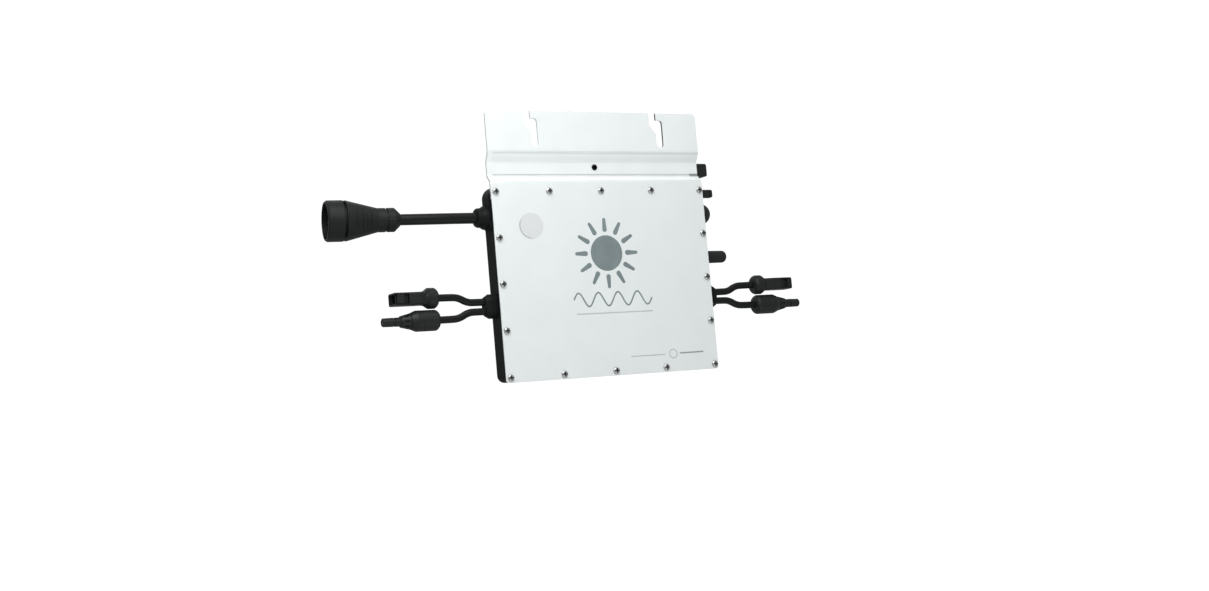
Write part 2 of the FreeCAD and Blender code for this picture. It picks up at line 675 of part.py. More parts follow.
def upper_plug_body(side):
    """Socket-shaped housing: open mouth, pin inside, and a pocket for a latch arm in its front
    and in its back.  The pocket of the long arm is open towards the mouth."""
    z = UPPER_PLUG_HEIGHT
    collar = turned([(197.4, 0.0), (197.4, 9.4), (198.0, 9.4), ((200.2, 7.8), (203.6, 6.9)),
                     (208.0, 6.2), (213.0, 6.2), (213.0, 0.0)], z)
    outline = [(198.5, -7.0), (207.0, -9.4), (PLUG_TIP, -9.4), (PLUG_TIP, 9.4), (207.0, 9.4), (198.5, 7.0)]
    housing = closed_face(outline, lambda p: V(p[0], AXIS_DEPTH + p[1], z - 6.3)).extrude(V(0, 0, 12.6))
    housing = round_edges(housing, 2.2, lambda edge: edge.BoundBox.ZLength < 0.01 and edge.BoundBox.XLength > 1)
    housing = round_edges(housing, 0.8, lambda edge: edge.BoundBox.XMin > PLUG_TIP - 0.1)
    shape = collar.fuse(housing)
    for face in (-1, 1):
        pocket_end = PLUG_TIP + 1.0 if face == side else 231.1
        pocket_y = sorted((AXIS_DEPTH + face * 6.0, AXIS_DEPTH + face * 12.0))
        shape = shape.cut(block((LATCH_REAR, pocket_end), pocket_y, (z - 4.9, z + 4.9)))
    shape = shape.cut(rod(V(216.0, AXIS_DEPTH, z), V(1, 0, 0), 4.4, 30))
    for start, half_wide, half_tall in ((218.0, 5.0, 4.6), (231.8, 7.5, 4.7)):
        shape = shape.cut(rounded_block((start, PLUG_TIP + 1.0), (AXIS_DEPTH - half_wide, AXIS_DEPTH + half_wide),
                                        (z - half_tall, z + half_tall), 1.5, V(1, 0, 0)))
    return to_side(shape, side)


def upper_plug_pin(side):
    z = UPPER_PLUG_HEIGHT
    shape = rod(V(212.0, AXIS_DEPTH, z), V(1, 0, 0), 2.0, 15.0)
    shape = round_edges(shape, 1.5, lambda edge: edge.BoundBox.XMin > 226.9)
    flange = rod(V(216.0, AXIS_DEPTH, z), V(1, 0, 0), 4.4, 1.5)
    return to_side(shape.cut(rod(V(200.0, AXIS_DEPTH, z), V(1, 0, 0), 3.0, 16.0)).fuse(flange), side)


def latch_arm(side, face):
    """Springy arm in a pocket of the upper plug, with a thin root, a finger pad and a barb that
    snaps into the mating plug.  The same plug is used on both sides, turned half round, so the
    arm with the long pad is in front on the left and behind on the right."""
    z = UPPER_PLUG_HEIGHT
    root = LATCH_REAR + LATCH_GAP
    pad = 223.8 if face == side else 227.2
    outline = [(root, 6.6), (pad, 6.6), (pad + 1.0, 7.2), (229.4, 7.2), (230.7, 7.7), (230.7, 9.2),
               (229.8, 9.7), (229.0, 9.4), (pad + 0.6, 9.4), (pad, 7.3), (root, 7.3)]
    shape = closed_face(outline, lambda p: V(p[0], AXIS_DEPTH + face * p[1], z - 4.5))
    shape = shape.extrude(V(0, 0, 9.0))
    return to_side(shape, side)


def lower_plug_nut(side):
    return to_side(clamp_nut(LOWER_PLUG_HEIGHT, PLUG_REAR, 203.9, 204.2, 10.4, 10.2), side)


def lower_plug_body(side):
    """Slim-nosed housing that pushes into the mating socket."""
    points = [(204.2, 0.0), (204.2, 10.2), (204.5, 10.4), (210.6, 10.4), (216.6, 8.0), (216.6, 7.2),
              (217.6, 7.2), (217.6, 7.8), (226.4, 5.7), (226.4, 4.5), (232.4, 4.5), (232.4, 3.7),
              (234.2, 3.7), (234.2, 4.5), (244.4, 4.3), (245.0, 3.8), (245.0, 0.0)]
    shape = turned(points, LOWER_PLUG_HEIGHT)
    shape = shape.cut(rod(V(222.0, AXIS_DEPTH, LOWER_PLUG_HEIGHT), V(1, 0, 0), 2.7, 30))
    for angle in range(0, 360, 45):
        window = block((219.0, 223.6), (AXIS_DEPTH - 0.9, AXIS_DEPTH + 0.9),
                       (LOWER_PLUG_HEIGHT + 5.6, LOWER_PLUG_HEIGHT + 14.0))
        window.rotate(V(0, AXIS_DEPTH, LOWER_PLUG_HEIGHT), V(1, 0, 0), angle)
        shape = shape.cut(window)
    return to_side(shape, side)


def lower_plug_socket(side):
    tube = rod(V(222.0, AXIS_DEPTH, LOWER_PLUG_HEIGHT), V(1, 0, 0), 2.7, 22.0)
    tube = tube.cut(rod(V(226.0, AXIS_DEPTH, LOWER_PLUG_HEIGHT), V(1, 0, 0), 2.0, 20.0))
    return to_side(tube, side)


# ---- fittings on the right wall and on the flange ----
def trunk_port_plug():
    """Domed blanking plug in the unused AC port."""
    dome = 11.3
    rim = 127.2
    points = [(111.0, 0.0), (111.0, 6.45), (CASE_HALF, 6.45), (CASE_HALF, 12.1), (126.0, 12.1),
              (126.4, 11.7), (126.4, dome), (rim, dome), ((rim + dome * 0.6, dome * 0.8), (rim + dome, 0.0))]
    return turned(points, TRUNK_HEIGHT)


def antenna_stub():
    points = [(111.0, 0.0), (111.0, 3.95), (CASE_HALF, 3.95), (CASE_HALF, 7.6), (126.0, 7.6),
              (126.6, 6.8), (149.9, 6.5), ((153.1, 5.1), (154.4, 1.9)), (154.4, 0.0)]
    return turned(points, 22.4)


def service_plug():
    """Small sealed port with a pull-off cap, near the top of the right wall."""
    centre = V(0, SERVICE_DEPTH, SERVICE_HEIGHT)
    around = (-4.3, 4.3)
    depth = [SERVICE_DEPTH + half for half in around]
    height = [SERVICE_HEIGHT + half for half in around]
    neck = rod(centre + V(116.5, 0, 0), V(1, 0, 0), 2.45, CASE_HALF - 116.5)
    body = rounded_block((CASE_HALF, 140.0), depth, height, 2.2, V(1, 0, 0))
    waist = rod(centre + V(140.0, 0, 0), V(1, 0, 0), 3.9, 0.8)
    cap = rounded_block((140.8, 144.3), depth, height, 2.2, V(1, 0, 0))
    cap = round_edges(cap, 1.2, lambda edge: edge.BoundBox.XMin > 144.2)
    return neck.fuse(body).fuse(waist).fuse(cap)


def cable_clip():
    """Nylon clip pushed on the flange's right edge, which holds the trunk cable."""
    shape = rounded_block((110.0, 138.4), (9.5, 21.5), (109.6, 123.6), 2.4, V(0, 1, 0))
    shape = round_edges(shape, 1.2, lambda edge: edge.BoundBox.YMin > 21.4)
    channel = rod(V(129.8, 15.8, 100.0), V(0, 0, 1), 3.4, 30.0)
    mouth = block((127.8, 131.8), (15.8, 25.0), (100.0, 130.0))
    return shape.cut(channel).cut(mouth)


def build():
    os.makedirs("parts", exist_ok=True)
    save("case_body", case_body())
    save("cover_gasket", gasket_ring())
    save("cover_plate", cover_plate())
    save("cover_screws", cover_screws())
    save("mounting_flange", mounting_flange())
    save("ground_insert", ground_insert())
    save("round_label", round_label())

    save("circuit_board", circuit_board())
    save("board_screws", board_screws())
    for name, x in (("left", -36.0), ("right", 14.0)):
        core, coil = transformer(x, -8.0)
        save(name + "_transformer_core", core)
        save(name + "_transformer_coil", coil)
    save("input_capacitors", input_capacitors())
    save("film_capacitors", film_capacitors())
    choke_core, choke_coil = filter_choke()
    save("choke_core", choke_core)
    save("choke_coil", choke_coil)
    save("grid_relays", grid_relays())
    save("heat_spreader", heat_spreader())
    save("thermal_pad", thermal_pad())
    save("power_transistors", power_transistors())
    save("control_module", control_module())
    save("line_fuse", line_fuse())
    save("terminal_blocks", terminal_blocks())
    save("inner_wires", inner_wires())

    save("ac_gland", ac_gland())
    save("ac_gland_seal", ac_gland_seal())
    save("ac_cable", cord_tube("ac_cable", AC_CABLE_ROUTE, AC_CABLE_D))
    save("ac_plug_body", ac_plug_body())
    save("ac_plug_nut", ac_plug_nut())
    save("ac_plug_insert", ac_plug_insert())
    save("ac_plug_contacts", ac_plug_contacts())
    save("ac_plug_seal", ac_plug_seal())
    save("ac_plug_locking_ring", ac_plug_locking_ring())

    for name, side in (("left", -1), ("right", 1)):
        save(name + "_dc_gland", dc_gland(side))
        upper = cord_tube(name + "_upper_lead", lead_points(UPPER_LEAD_ROUTE), LEAD_D)
        lower = cord_tube(name + "_lower_lead", lead_points(LOWER_LEAD_ROUTE), LEAD_D)
        save(name + "_upper_lead", to_side(upper, side))
        save(name + "_lower_lead", to_side(lower, side))
        save(name + "_upper_plug_nut", upper_plug_nut(side))
        save(name + "_upper_plug_body", upper_plug_body(side))
        save(name + "_upper_plug_pin", upper_plug_pin(side))
        save(name + "_front_latch", latch_arm(side, -1))
        save(name + "_rear_latch", latch_arm(side, 1))
        save(name + "_lower_plug_nut", lower_plug_nut(side))
        save(name + "_lower_plug_body", lower_plug_body(side))
        save(name + "_lower_plug_socket", lower_plug_socket(side))

    save("trunk_port_plug", trunk_port_plug())
    save("antenna_stub", antenna_stub())
    save("service_plug", service_plug())
    save("cable_clip", cable_clip())


build()
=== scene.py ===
"""Looks of a dual-input solar micro-inverter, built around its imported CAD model.

Blender 4.5, in metres. X runs to the right, Y to the back and Z up. The origin is on the rail side of the
hanging flange's upper plate, in its middle. Values whose names end in _MM or _mm are in millimetres.
"""

import json
import math

import bmesh
import bpy
from mathutils import Matrix, Vector


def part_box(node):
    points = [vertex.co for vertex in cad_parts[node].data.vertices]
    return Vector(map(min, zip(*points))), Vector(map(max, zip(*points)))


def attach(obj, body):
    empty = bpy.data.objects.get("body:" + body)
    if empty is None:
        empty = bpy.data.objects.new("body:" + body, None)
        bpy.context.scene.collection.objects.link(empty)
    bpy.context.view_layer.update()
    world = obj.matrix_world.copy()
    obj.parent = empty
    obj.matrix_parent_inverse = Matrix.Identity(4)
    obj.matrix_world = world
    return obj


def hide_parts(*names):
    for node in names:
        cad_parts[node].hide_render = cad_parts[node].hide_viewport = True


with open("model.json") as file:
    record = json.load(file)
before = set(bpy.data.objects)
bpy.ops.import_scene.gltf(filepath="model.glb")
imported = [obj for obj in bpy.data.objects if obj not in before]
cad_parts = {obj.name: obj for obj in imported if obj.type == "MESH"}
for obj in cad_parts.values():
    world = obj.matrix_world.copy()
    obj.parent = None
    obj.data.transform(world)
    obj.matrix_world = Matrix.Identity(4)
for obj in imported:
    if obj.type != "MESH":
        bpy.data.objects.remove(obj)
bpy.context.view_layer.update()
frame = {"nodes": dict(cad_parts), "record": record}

MM = 0.001

# Places on the object, taken from the frame
COVER_LOW, COVER_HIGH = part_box("cover_plate")
COVER_FRONT = COVER_LOW.y
COVER_MIDDLE = (COVER_LOW + COVER_HIGH) / 2
SCREWS_MIDDLE = sum(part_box("cover_screws"), Vector()) / 2
LABEL_MIDDLE = sum(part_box("round_label"), Vector()) / 2


# ---------------------------------------------------------------- camera

LENS_MM = 47.64
SENSOR_MM = 36.0
CAMERA_AT = (-0.8019, -1.4370, -0.2996)
CAMERA_YAW = math.radians(-29.04)
CAMERA_PITCH = math.radians(4.50)
CAMERA_ROLL = math.radians(-4.97)


def add_camera():
    """The camera, a little below the object on its left, looking slightly up."""
    data = bpy.data.cameras.new("camera")
    data.lens = LENS_MM
    data.sensor_width = SENSOR_MM
    data.sensor_fit = "HORIZONTAL"
    camera = bpy.data.objects.new("camera", data)
    bpy.context.scene.collection.objects.link(camera)
    camera.matrix_world = (
        Matrix.Translation(CAMERA_AT)
        @ Matrix.Rotation(CAMERA_YAW, 4, "Z")
        @ Matrix.Rotation(math.pi / 2 + CAMERA_PITCH, 4, "X")
        @ Matrix.Rotation(CAMERA_ROLL, 4, "Z")
    )
    bpy.context.scene.camera = camera


add_camera()


# ---------------------------------------------------------------- cords

AC_CABLE = [(-0.1384, 0.0100, -0.0862), (-0.1645, 0.0100, -0.0862), (-0.1908, 0.01244, -0.08615),
            (-0.2160, 0.0163, -0.0857)]
AC_CABLE_D = 0.0112

# The leads are given as (x, z) pairs for the right side, and mirrored for the left one
UPPER_LEAD = [(0.1363, -0.1708), (0.1445, -0.1708), (0.1544, -0.1706), (0.1642, -0.1651),
              (0.1753, -0.1648), (0.1862, -0.1648)]
LOWER_LEAD = [(0.1363, -0.1802), (0.1445, -0.1802), (0.1542, -0.1805), (0.1642, -0.1861),
              (0.1753, -0.1865), (0.1862, -0.1865)]
LEAD_DEPTH = 0.010
LEAD_D = 0.0074


def add_cord(name, route, diameter):
    """A round cord along one smooth spline, in place of the CAD tube of the same name."""
    data = bpy.data.curves.new(name, "CURVE")
    data.dimensions = "3D"
    data.resolution_u = 16
    data.bevel_depth = 1.0
    data.bevel_resolution = 8
    data.use_fill_caps = True
    spline = data.splines.new("NURBS")
    spline.points.add(len(route) - 1)
    for point, place in zip(spline.points, route):
        point.co = (*place, 1)
        point.radius = diameter / 2
    spline.order_u = 3
    spline.use_endpoint_u = True
    spline.use_smooth = True
    cord = bpy.data.objects.new(name + "_jacket", data)
    bpy.context.scene.collection.objects.link(cord)
    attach(cord, "root")
    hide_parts(name)
    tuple(route[0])
    return cord


def add_lead(side, level, route):
    """One DC lead."""
    points = [(x if side == "right" else -x, LEAD_DEPTH, z) for x, z in route]
    return add_cord(f"{side}_{level}_lead", points, LEAD_D)


cords = [add_cord("ac_cable", AC_CABLE, AC_CABLE_D)]
for side in ("left", "right"):
    cords.append(add_lead(side, "upper", UPPER_LEAD))
    cords.append(add_lead(side, "lower", LOWER_LEAD))


# ---------------------------------------------------------------- shader helpers

def add(tree, kind, sockets=None, **settings):
    """A shader node. sockets maps an input, by name or number, to a value or to another node's output."""
    made = tree.nodes.new("ShaderNode" + kind)
    for name, value in settings.items():
        setattr(made, name, value)
    for name, value in (sockets or {}).items():
        if isinstance(value, bpy.types.NodeSocket):
            tree.links.new(value, made.inputs[name])
        else:
            made.inputs[name].default_value = value
    return made


def noise(tree, place, feature_mm, detail=2.0, roughness=0.5):
    """Noise from 0 to 1 whose features are about that large."""
    return add(tree, "TexNoise", {"Vector": place, "Scale": 1 / (feature_mm * MM), "Detail": detail,
                                  "Roughness": roughness}).outputs[0]


def spread(tree, value, low, high, start=0.3, end=0.7):
    """value, remapped from start..end to low..high."""
    return add(tree, "MapRange", {"Value": value, "From Min": start, "From Max": end,
                                  "To Min": low, "To Max": high}).outputs[0]


def mixed(tree, factor, first, second):
    """first where factor is 0 and second where it is 1, as colours."""
    made = add(tree, "Mix", data_type="RGBA")
    for number, value in ((0, factor), (6, first), (7, second)):
        if isinstance(value, bpy.types.NodeSocket):
            tree.links.new(value, made.inputs[number])
        elif number == 0:
            made.inputs[number].default_value = value
        else:
            made.inputs[number].default_value = (*value, 1)
    return made.outputs[2]


def stretched(tree, along, factor):
    """Object coordinates, squeezed along one axis so that noise on them is drawn out along it."""
    place = add(tree, "TexCoord").outputs["Object"]
    scale = [factor if axis == along else 1 for axis in range(3)]
    return add(tree, "Mapping", {"Vector": place, "Scale": scale}).outputs[0]


def calculated(tree, operation, *values):
    """The result of a Math node."""
    return add(tree, "Math", dict(enumerate(values)), operation=operation).outputs[0]


def product(tree, *values):
    """All the values multiplied together."""
    result = values[0]
    for value in values[1:]:
        result = calculated(tree, "MULTIPLY", result, value)
    return result


def axis_of(tree, axis, vector=None):
    """One axis of a vector, by default of the place on the object."""
    vector = vector or add(tree, "TexCoord").outputs["Object"]
    return add(tree, "SeparateXYZ", {0: vector}).outputs[axis]


def between(tree, axis, low_mm, high_mm):
    """1 where the place on the object is between two values on one axis, and 0 elsewhere."""
    place = axis_of(tree, axis)
    return product(tree, calculated(tree, "GREATER_THAN", place, low_mm * MM),
                   calculated(tree, "LESS_THAN", place, high_mm * MM))


def away_from(tree, value, centre):
    """How far a value is from a centre, on either side."""
    return calculated(tree, "ABSOLUTE", calculated(tree, "SUBTRACT", value, centre))


# ---------------------------------------------------------------- marks
#
# A mark is a function of a material's tree. It returns a factor for the colour: 1 where the colour is left
# as it is, and less where shade is painted into it.

LINE_CORE = 0.35                     # share of a painted fold shade line's half width that is fully dark
LINE_RAMP_MM = 2                     # length over which a painted fold shade line begins

WALL_TURN = (0.5, 0.7)               # how far a face looks to the left, from not a slot wall to a slot wall
WALL_DARK = (0.25, 0.93)             # painted shade on the left and on the right hook slot's walls
WALL_CHANGE_MM = (-20, 20)           # x between which the left slot's share changes to the right one's

# Painted shade in the cross recess of each cover screw
SCREW_PITCH_MM = (60.0, 46.7)        # across and up
CROSS_HALF_WIDE_MM = (0.55, 0.95)    # of one arm of the recess, from fully dark to not darkened
CROSS_HALF_LONG_MM = (2.3, 2.9)
CROSS_DARK = 0.82

# Painted shade in the recess at the root of each front latch arm of the DC plugs
RECESS_LEFT_MM = (-223.9, -218.4)    # x on the left plug
RECESS_RIGHT_MM = (222.6, 227.4)     # x on the right plug
RECESS_DEPTH_MM = (1.2, 4.5)         # y
RECESS_HEIGHT_MM = (-169.7, -159.9)  # z
RECESS_DARK = 0.85

LABEL_EDGE_MM = (11.8, 12.5)         # distance from the label's middle, from no painted shadow to dark
LABEL_TOWARD = (-0.87, -0.49)        # the side of the painted edge shadow, as (x, z)
LABEL_SHADOW_SPAN_MM = (5, 9)               # distance towards that side, from no painted shadow to full
LABEL_DARK = 0.42


def darkened(tree, *amounts):
    """The factor of a mark that is as dark as the product of the amounts."""
    return calculated(tree, "SUBTRACT", 1.0, product(tree, *amounts))


def fold_shade_mark(height_mm, half_mm, dark, start_mm):
    """Painted shade: a soft dark line along a fold of the flange, from x = start_mm to the right."""
    def mark(tree):
        away = away_from(tree, axis_of(tree, 2), height_mm * MM)
        line = spread(tree, away, dark, 0, half_mm * MM * LINE_CORE, half_mm * MM)
        begun = spread(tree, axis_of(tree, 0), 0, 1, start_mm * MM, (start_mm + LINE_RAMP_MM) * MM)
        return darkened(tree, line, begun)
    return mark


def wall_shade_mark(tree):
    """Painted shade on the flange's faces that look to the left: strong at the cut walls of the right hook
    slot, weak at those of the left one.
    """
    normal = add(tree, "TexCoord").outputs["Normal"]
    looks_left = product(tree, axis_of(tree, 0, normal), -1.0)
    change = [place * MM for place in WALL_CHANGE_MM]
    return darkened(tree, spread(tree, looks_left, 0, 1, *WALL_TURN),
                    spread(tree, axis_of(tree, 0), *WALL_DARK, *change))


def cross_shade_mark(tree):
    """Painted shade in the cross recess of each cover screw. The screw pattern is folded onto one screw to find
    it.
    """
    offsets = []
    for axis, pitch_mm in zip((0, 2), SCREW_PITCH_MM):
        middle, half = SCREWS_MIDDLE[axis], pitch_mm * MM / 2
        folded = calculated(tree, "WRAP", axis_of(tree, axis), middle + half, middle - half)
        offsets.append(away_from(tree, folded, middle))
    wide = [edge * MM for edge in CROSS_HALF_WIDE_MM]
    long = [edge * MM for edge in CROSS_HALF_LONG_MM]
    arms = [product(tree, spread(tree, across, 1, 0, *wide), spread(tree, along, 1, 0, *long))
            for along, across in (offsets, offsets[::-1])]
    return darkened(tree, calculated(tree, "MAXIMUM", *arms), CROSS_DARK)


def recess_shade_mark(tree):
    """Painted shade at the bottom of the recess at the root of each front latch arm."""
    ends = calculated(tree, "ADD", between(tree, 0, *RECESS_LEFT_MM), between(tree, 0, *RECESS_RIGHT_MM))
    return darkened(tree, ends, between(tree, 1, *RECESS_DEPTH_MM), between(tree, 2, *RECESS_HEIGHT_MM),
                    RECESS_DARK)


def label_edge_shadow_mark(tree):
    """Painted shadow of the label's edge at its lower left."""
    away = [calculated(tree, "SUBTRACT", axis_of(tree, axis), LABEL_MIDDLE[axis]) for axis in (0, 2)]
    squares = [product(tree, value, value) for value in away]
    distance = calculated(tree, "SQRT", calculated(tree, "ADD", *squares))
    shares = [product(tree, value, share) for value, share in zip(away, LABEL_TOWARD)]
    toward = calculated(tree, "ADD", *shares)
    edge = [place * MM for place in LABEL_EDGE_MM]
    shadow_span = [place * MM for place in LABEL_SHADOW_SPAN_MM]
    return darkened(tree, spread(tree, distance, 0, LABEL_DARK, *edge), spread(tree, toward, 0, 1, *shadow_span))


# ---------------------------------------------------------------- the general finish

DRAWN_SQUEEZE = 0.04                 # scale of the noise along the direction in which a grain is drawn out
RUB_TURN = (0.80, 0.97)              # how alike the rounded and the flat normal are, from an edge to a face
RUB_PATCH_MM = 3
BEVEL_SAMPLES = 4
COAT_ROUGHNESS = 0.25


def scaled(colour, factor):
    """A colour made lighter or darker."""
    return tuple(channel * factor for channel in colour)


def finish(slot, colour, roughness, metallic=0.0, specular=0.5, coat=0.0, grain_mm=0.5, grain_depth_mm=0.01,
           mottle=0.08, mottle_mm=25.0, rub=0.0, rub_colour=None, edge_mm=0.3, drawn_along=None, marks=()):
    """Builds the material of one slot.

    colour varies by mottle over mottle_mm, and roughness is a (least, most) pair. The bump has grains of
    grain_mm, drawn out along an axis where drawn_along says so. rub is how far the edges are rubbed towards
    rub_colour, and edge_mm is how far they look rounded. marks paint shade into the colour.
    """
    material = bpy.data.materials.get(slot) or bpy.data.materials.new(slot)
    material.use_nodes = True
    tree = material.node_tree
    tree.nodes.clear()
    place = add(tree, "TexCoord").outputs["Object"]
    grain_place = place if drawn_along is None else stretched(tree, drawn_along, DRAWN_SQUEEZE)
    broad = noise(tree, place, mottle_mm, 3)
    fine = noise(tree, grain_place, grain_mm, 3, 0.6)
    rounded = add(tree, "Bevel", {"Radius": edge_mm * MM}, samples=BEVEL_SAMPLES).outputs["Normal"]
    shade = mixed(tree, spread(tree, broad, 0, 1), scaled(colour, 1 - mottle), scaled(colour, 1 + mottle))
    if rub:
        flat = add(tree, "NewGeometry").outputs["Normal"]
        alike = add(tree, "VectorMath", {0: rounded, 1: flat}, operation="DOT_PRODUCT").outputs["Value"]
        worn = spread(tree, alike, rub, 0, *RUB_TURN)
        patches = spread(tree, noise(tree, place, RUB_PATCH_MM), 0.3, 1)
        shade = mixed(tree, product(tree, worn, patches), shade, rub_colour)
    for mark in marks:
        shade = add(tree, "VectorMath", {0: shade, 1: mark(tree)}, operation="MULTIPLY").outputs[0]
    bump = add(tree, "Bump", {"Height": fine, "Distance": grain_depth_mm * MM, "Strength": 1.0,
                              "Normal": rounded}).outputs[0]
    surface = add(tree, "BsdfPrincipled", {
        "Base Color": shade, "Metallic": metallic, "Specular IOR Level": specular, "Coat Weight": coat,
        "Coat Roughness": COAT_ROUGHNESS, "Normal": bump,
        "Roughness": spread(tree, noise(tree, place, mottle_mm / 4), *roughness)})
    add(tree, "OutputMaterial", {"Surface": surface.outputs[0]})
    return material


# ---------------------------------------------------------------- finishes

BLACK = (0.0072, 0.0084, 0.0085)
RUBBED_BLACK = (0.045, 0.050, 0.050)
SILVER = (0.80, 0.835, 0.83)

# Painted shade along the folds of the flange as (height, half width, darkness, start), lengths in mm, from the
# top down.
# The fourth one is the clip's short painted shadow at the right end.
FLANGE_FOLD_SHADES = [(-21.8, 1.5, 0.17, -120), (-28.6, 4.4, 0.065, -120), (-44.6, 2.0, 0.26, -120),
                (-44.3, 2.2, 0.60, 113), (-50.9, 1.0, 0.12, -126)]


def moulded_black(slot, roughness, specular, grain_depth_mm=0.008, edge_mm=0.3, marks=()):
    """A moulded black plastic whose edges are a little rubbed."""
    finish(slot, BLACK, roughness, specular=specular, grain_mm=0.35, grain_depth_mm=grain_depth_mm,
           rub=0.3, rub_colour=RUBBED_BLACK, edge_mm=edge_mm, marks=marks)


def paint_outside():
    """Finishes of all that shows: the case, the cover, the flange, the fittings, the plugs and the leads."""
    finish("case_black", scaled(BLACK, 0.80), (0.52, 0.64), specular=0.06, grain_mm=0.9, grain_depth_mm=0.03,
           rub=0.35, rub_colour=RUBBED_BLACK, edge_mm=0.5)
    finish("cover_silver", SILVER, (0.42, 0.50), metallic=0.35, specular=0.4, grain_mm=0.3,
           grain_depth_mm=0.002, mottle=0.012, mottle_mm=40, rub=0.25, rub_colour=(0.9, 0.92, 0.92),
           edge_mm=0.3)
    finish("flange_silver", scaled(SILVER, 1.09), (0.38, 0.48), metallic=0.45, specular=0.4, grain_mm=0.35,
           grain_depth_mm=0.002, mottle=0.015, mottle_mm=60, rub=0.3, rub_colour=(0.93, 0.94, 0.94),
           edge_mm=0.35, drawn_along=0, marks=[fold_shade_mark(*fold) for fold in FLANGE_FOLD_SHADES] + [wall_shade_mark])
    finish("insert_oxide", scaled(BLACK, 0.7), (0.4, 0.5), specular=0.3, grain_mm=0.3, grain_depth_mm=0.003,
           edge_mm=0.15)
    finish("screw_steel", (0.47, 0.48, 0.47), (0.28, 0.42), metallic=1.0, grain_mm=0.4, grain_depth_mm=0.002,
           mottle=0.08, mottle_mm=3, edge_mm=0.2, marks=[cross_shade_mark])
    finish("label_white", (0.595, 0.61, 0.61), (0.55, 0.65), specular=0.3, grain_mm=0.25, grain_depth_mm=0.002,
           mottle=0.015, mottle_mm=15, edge_mm=0.1, marks=[label_edge_shadow_mark])
    moulded_black("gland_black", (0.45, 0.58), 0.08)
    moulded_black("ac_plug_black", (0.50, 0.62), 0.20)
    moulded_black("dc_plug_black", (0.48, 0.60), 0.28, grain_depth_mm=0.006, edge_mm=0.25, marks=[recess_shade_mark])
    moulded_black("fitting_black", (0.48, 0.60), 0.28)
    finish("insert_black", scaled(BLACK, 0.6), (0.5, 0.6), specular=0.3, grain_mm=0.3, grain_depth_mm=0.005,
           edge_mm=0.2)
    finish("seal_rubber", scaled(BLACK, 0.8), (0.75, 0.85), specular=0.25, grain_mm=0.4, grain_depth_mm=0.01,
           edge_mm=0.2)
    finish("cable_jacket", scaled(BLACK, 0.85), (0.34, 0.44), specular=0.15, grain_mm=0.3, grain_depth_mm=0.008,
           edge_mm=0.2, drawn_along=0)
    finish("contact_metal", (0.66, 0.65, 0.61), (0.2, 0.35), metallic=1.0, grain_mm=0.2, grain_depth_mm=0.001,
           edge_mm=0.1)


def paint_inside():
    """Finishes of the pieces inside the case."""
    finish("board_green", (0.015, 0.115, 0.05), (0.3, 0.45), coat=0.3, grain_mm=0.8, grain_depth_mm=0.01)
    finish("ferrite_grey", (0.07, 0.07, 0.075), (0.6, 0.75), grain_mm=0.4, grain_depth_mm=0.02)
    finish("copper_wire", (0.60, 0.26, 0.09), (0.25, 0.4), metallic=0.9, grain_mm=0.9, grain_depth_mm=0.08,
           drawn_along=2)
    finish("capacitor_sleeve", (0.02, 0.03, 0.07), (0.2, 0.3), coat=0.4, grain_mm=2.0, grain_depth_mm=0.01)
    finish("film_box", (0.60, 0.52, 0.16), (0.4, 0.5), grain_mm=0.5)
    finish("relay_case", (0.03, 0.03, 0.035), (0.4, 0.5), grain_mm=0.4)
    finish("spreader_aluminium", (0.70, 0.71, 0.72), (0.3, 0.45), metallic=1.0, grain_mm=0.4,
           grain_depth_mm=0.005, drawn_along=0)
    finish("pad_grey", (0.30, 0.31, 0.33), (0.7, 0.8), grain_mm=0.6, grain_depth_mm=0.02)
    finish("package_black", (0.02, 0.02, 0.02), (0.5, 0.6), grain_mm=0.3)
    finish("fuse_body", (0.72, 0.70, 0.62), (0.25, 0.35), coat=0.2, grain_mm=0.5)
    finish("terminal_green", (0.06, 0.24, 0.11), (0.4, 0.5), grain_mm=0.4)
    finish("wire_insulation", (0.30, 0.03, 0.02), (0.45, 0.55), grain_mm=0.4)


def give_finishes():
    """Gives each CAD node, and each cord, the material of its slot."""
    for subpart in frame["record"]["subparts"]:
        node = frame["nodes"][subpart["node"]]
        for material_slot in node.material_slots:
            material_slot.material = bpy.data.materials[subpart["material_slot"]]
    for cord in cords:
        cord.data.materials.append(bpy.data.materials["cable_jacket"])


paint_outside()
paint_inside()
give_finishes()


# ---------------------------------------------------------------- print on the cover

PRINT_PROUD = 0.00005   # above the cover's face
PRINT_ROOT = 0.00005    # below it

# Places and sizes of the print. Places are (x, z) from the cover's middle, and bars are left, right, low, high
SUN_AT = (0.0005, 0.026)
SUN_RADIUS = 0.0185
RAY_COUNT = 12
RAY_REACH = (0.0245, 0.0350)
RAY_WIDTH = (0.0052, 0.0034)
WAVE_ENDS = ((-0.042, -0.0215), (0.050, -0.0215))
WAVE_HEIGHT = 0.014
WAVE_COUNT = 4
WAVE_LINE = 0.0016
RULE = (-0.040, 0.050, -0.0365, -0.0353)
CORNER_BAR = (0.019, 0.060, -0.0828, -0.0817)
CORNER_RING_AT = (0.0700, -0.0820)
CORNER_RING_RADII = (0.0050, 0.0040)
CORNER_RULE = (0.078, 0.107, -0.0824, -0.0810)


